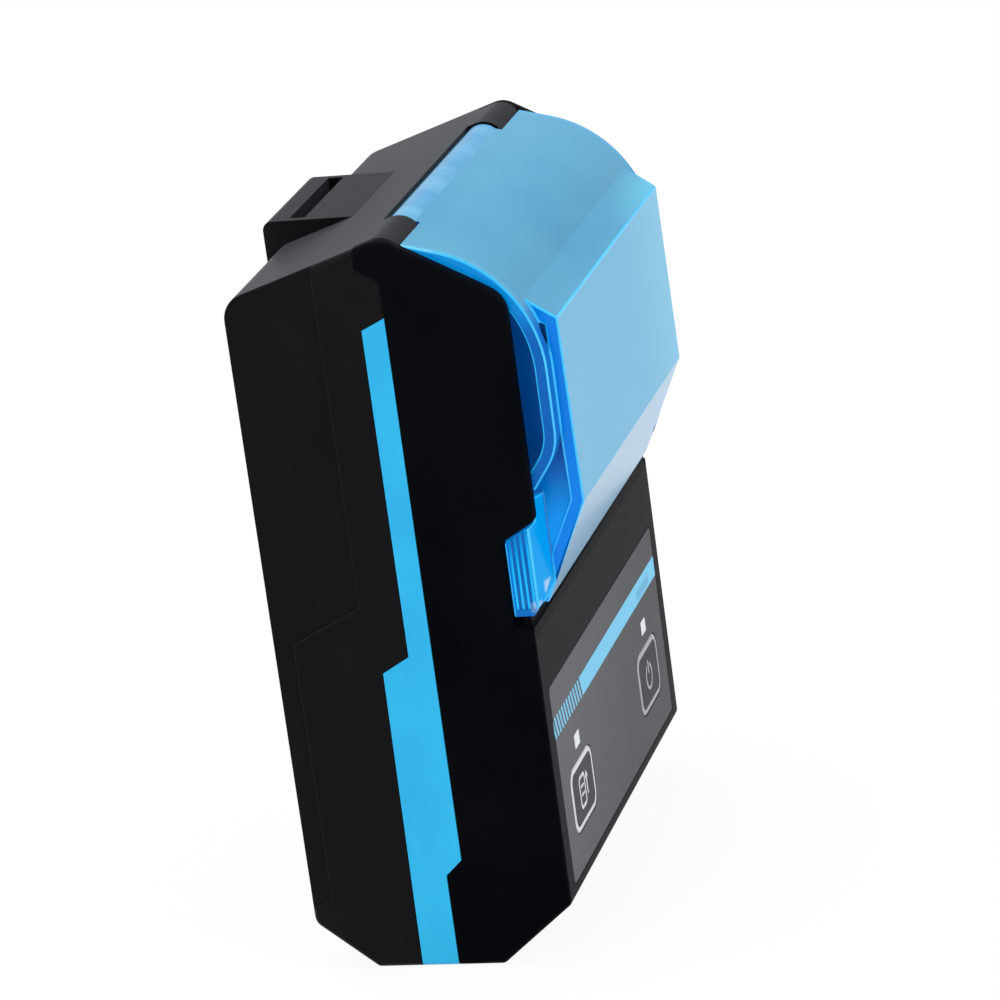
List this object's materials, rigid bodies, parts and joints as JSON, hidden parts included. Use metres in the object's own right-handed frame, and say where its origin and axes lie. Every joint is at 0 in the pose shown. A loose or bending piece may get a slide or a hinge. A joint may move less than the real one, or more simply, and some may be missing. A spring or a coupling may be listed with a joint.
{
  "type": "portable receipt printer",
  "caption": "Pocket thermal receipt printer with a hinged see-through paper lid, two keys and a belt loop.",
  "frame": {"origin": "middle of the flat bottom end face on which the printer stands", "axes": "+Z along the case's length to the lid's hinge, +Y towards the back, -Y out of the key panel, +X to the side with the charging socket"},
  "size_m": [0.079, 0.0493, 0.1117],
  "materials": {
    "case_black": "fine matt texture",
    "inner_black": "matt",
    "trim_blue": "smooth blue",
    "lid_blue": "translucent blue, polished",
    "key_black": "satin",
    "label_grey": "printed satin film",
    "window_clear": "clear",
    "gear_white": "natural acetal",
    "chip_black": "matt",
    "board_green": "solder mask",
    "battery_grey": "shrink film",
    "flex_orange": "polyimide film",
    "ceramic": "glazed ceramic strip",
    "platen_rubber": "ground rubber",
    "steel": "turned steel",
    "plated_steel": "nickel plated",
    "aluminium": "cast, plain",
    "brass": "machined"
  },
  "bodies": {
    "case": {"front_shell": "case_black", "rear_shell": "case_black", "trim_band": "trim_blue", "lid_hinge_pin": "steel", "gear_axle": "steel", "stepper_motor": "plated_steel", "paper_bin": "inner_black", "paper_sensor": "inner_black", "head_springs": "steel", "mechanism_chassis": "inner_black", "tear_bar": "steel", "main_board": "board_green", "board_components": "chip_black", "tact_switches": "chip_black", "control_label": "label_grey", "led_windows": "window_clear", "status_leds": "gear_white", "usb_socket": "plated_steel", "battery_pack": "battery_grey", "battery_contacts": "brass", "case_screws": "steel", "board_screws": "steel", "chassis_screws": "steel", "motor_screws": "steel", "head_flex_cable": "flex_orange", "motor_flex_cable": "flex_orange"},
    "lid": {"paper_lid": "lid_blue", "platen_bushings": "gear_white"},
    "platen": {"platen_roller": "platen_rubber", "platen_shaft": "steel", "platen_gear": "gear_white"},
    "reducer": {"reduction_gear": "gear_white"},
    "motor_rotor": {"motor_pinion": "brass"},
    "head": {"print_head": "ceramic", "head_heat_sink": "aluminium"},
    "feed_button": {"feed_key": "key_black"},
    "power_button": {"power_key": "key_black"},
    "door": {"battery_door": "case_black"}
  },
  "joints": [
    {"name": "lid_hinge", "type": "hinge", "parent": "case", "child": "lid", "pos_m": [0, -0.00545, 0.10831], "axis": [-1, 0, 0], "range_deg": [0, 85]},
    {"name": "motor_spin", "type": "hinge", "parent": "case", "child": "motor_rotor", "pos_m": [-0.0364, -0.0046, 0.04722], "axis": [1, 0, 0], "continuous": true},
    {"name": "reduction_spin", "type": "hinge", "parent": "case", "child": "reducer", "pos_m": [-0.0355, -0.00983, 0.05749], "axis": [1, 0, 0], "continuous": true},
    {"name": "platen_spin", "type": "hinge", "parent": "lid", "child": "platen", "pos_m": [0, -0.01725, 0.0588], "axis": [1, 0, 0], "continuous": true},
    {"name": "head_tilt", "type": "hinge", "parent": "case", "child": "head", "pos_m": [0, -0.01125, 0.0524], "axis": [-1, 0, 0], "range_deg": [0, 1], "stiffness_Nm_per_rad": 0.5, "springref_deg": -0.57},
    {"name": "feed_press", "type": "slide", "parent": "case", "child": "feed_button", "axis": [0, 1, 0], "range_m": [0, 0.0004], "stiffness_N_per_m": 500, "springref_m": -0.0004},
    {"name": "power_press", "type": "slide", "parent": "case", "child": "power_button", "axis": [0, 1, 0], "range_m": [0, 0.0004], "stiffness_N_per_m": 500, "springref_m": -0.0004},
    {"name": "door_removal", "type": "slide", "parent": "case", "child": "door", "axis": [0, 1, 0], "range_m": [0, 0.025]}
  ],
  "couplings": [
    {"joint": "motor_spin", "follows": "reduction_spin", "ratio": -2.8333},
    {"joint": "platen_spin", "follows": "reduction_spin", "ratio": -0.66667}
  ]
}
